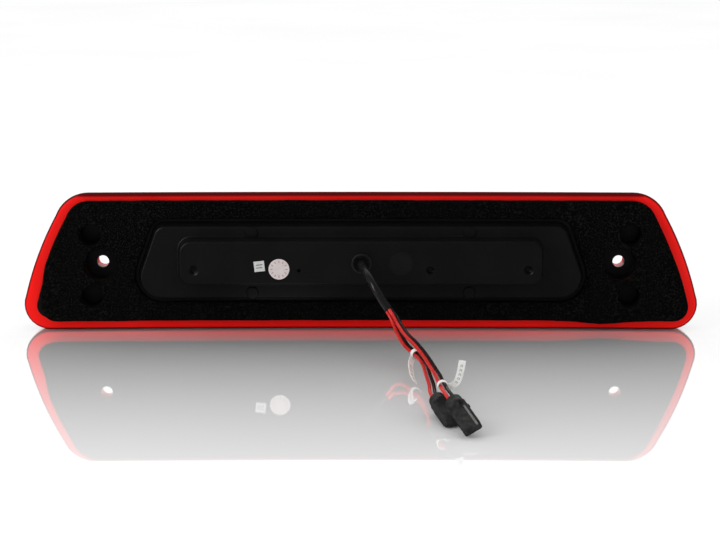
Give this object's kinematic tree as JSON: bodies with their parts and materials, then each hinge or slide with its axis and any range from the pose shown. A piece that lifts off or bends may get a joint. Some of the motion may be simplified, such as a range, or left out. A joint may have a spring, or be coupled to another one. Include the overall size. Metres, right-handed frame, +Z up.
{
  "type": "third brake light",
  "caption": "Long red high-mounted stop lamp for a pickup cab, with clear cargo windows, a stepped black rear housing, a foam gasket and a short lead that ends in wedge plugs.",
  "frame": {"origin": "on the surface the lamp stands on, in the middle of its length, below the middle of its depth from the grommet's rear face to the lens crown", "axes": "+X along the lamp, to the right as seen from the cab side; +Y out of the lens front; +Z up"},
  "size_m": [0.42, 0.2581, 0.0866],
  "materials": {
    "red_lens": "transparent red",
    "clear_window": "clear",
    "housing_black": "moulded satin",
    "foam": "open-cell foam",
    "soft_black": "smooth",
    "bright_plastic": "metallised",
    "board": "lacquered",
    "lamp_chip": "resin",
    "board_chip": "moulded",
    "screw_steel": "zinc plated",
    "membrane": "fine",
    "white_label": "smooth",
    "pink_label": "smooth",
    "jacket_black": "smooth vinyl",
    "wire_red": "smooth vinyl",
    "wire_black": "smooth vinyl",
    "plug_black": "moulded satin",
    "contact_metal": "tinned"
  },
  "bodies": {
    "root": {"outer_lens": "red_lens", "cargo_window_left": "clear_window", "cargo_window_right": "clear_window", "lens_seal": "soft_black", "rear_housing": "housing_black", "mounting_gasket": "foam", "reflector_tray": "bright_plastic", "led_board": "board", "stop_leds": "lamp_chip", "cargo_leds": "lamp_chip", "board_resistors": "board_chip", "board_diodes": "board_chip", "board_screws": "screw_steel", "board_leads": "wire_red", "cable_grommet": "soft_black", "vent_membrane": "membrane", "square_sticker": "white_label", "round_sticker": "pink_label", "cable_sheath": "jacket_black", "stop_wire_red": "wire_red", "stop_wire_black": "wire_black", "cargo_wire_red": "wire_red", "cargo_wire_black": "wire_black", "stop_wire_flag": "white_label", "cargo_wire_flag": "white_label", "stop_plug": "plug_black", "stop_plug_contacts": "contact_metal", "cargo_plug": "plug_black", "cargo_plug_contacts": "contact_metal"}
  },
  "joints": []
}
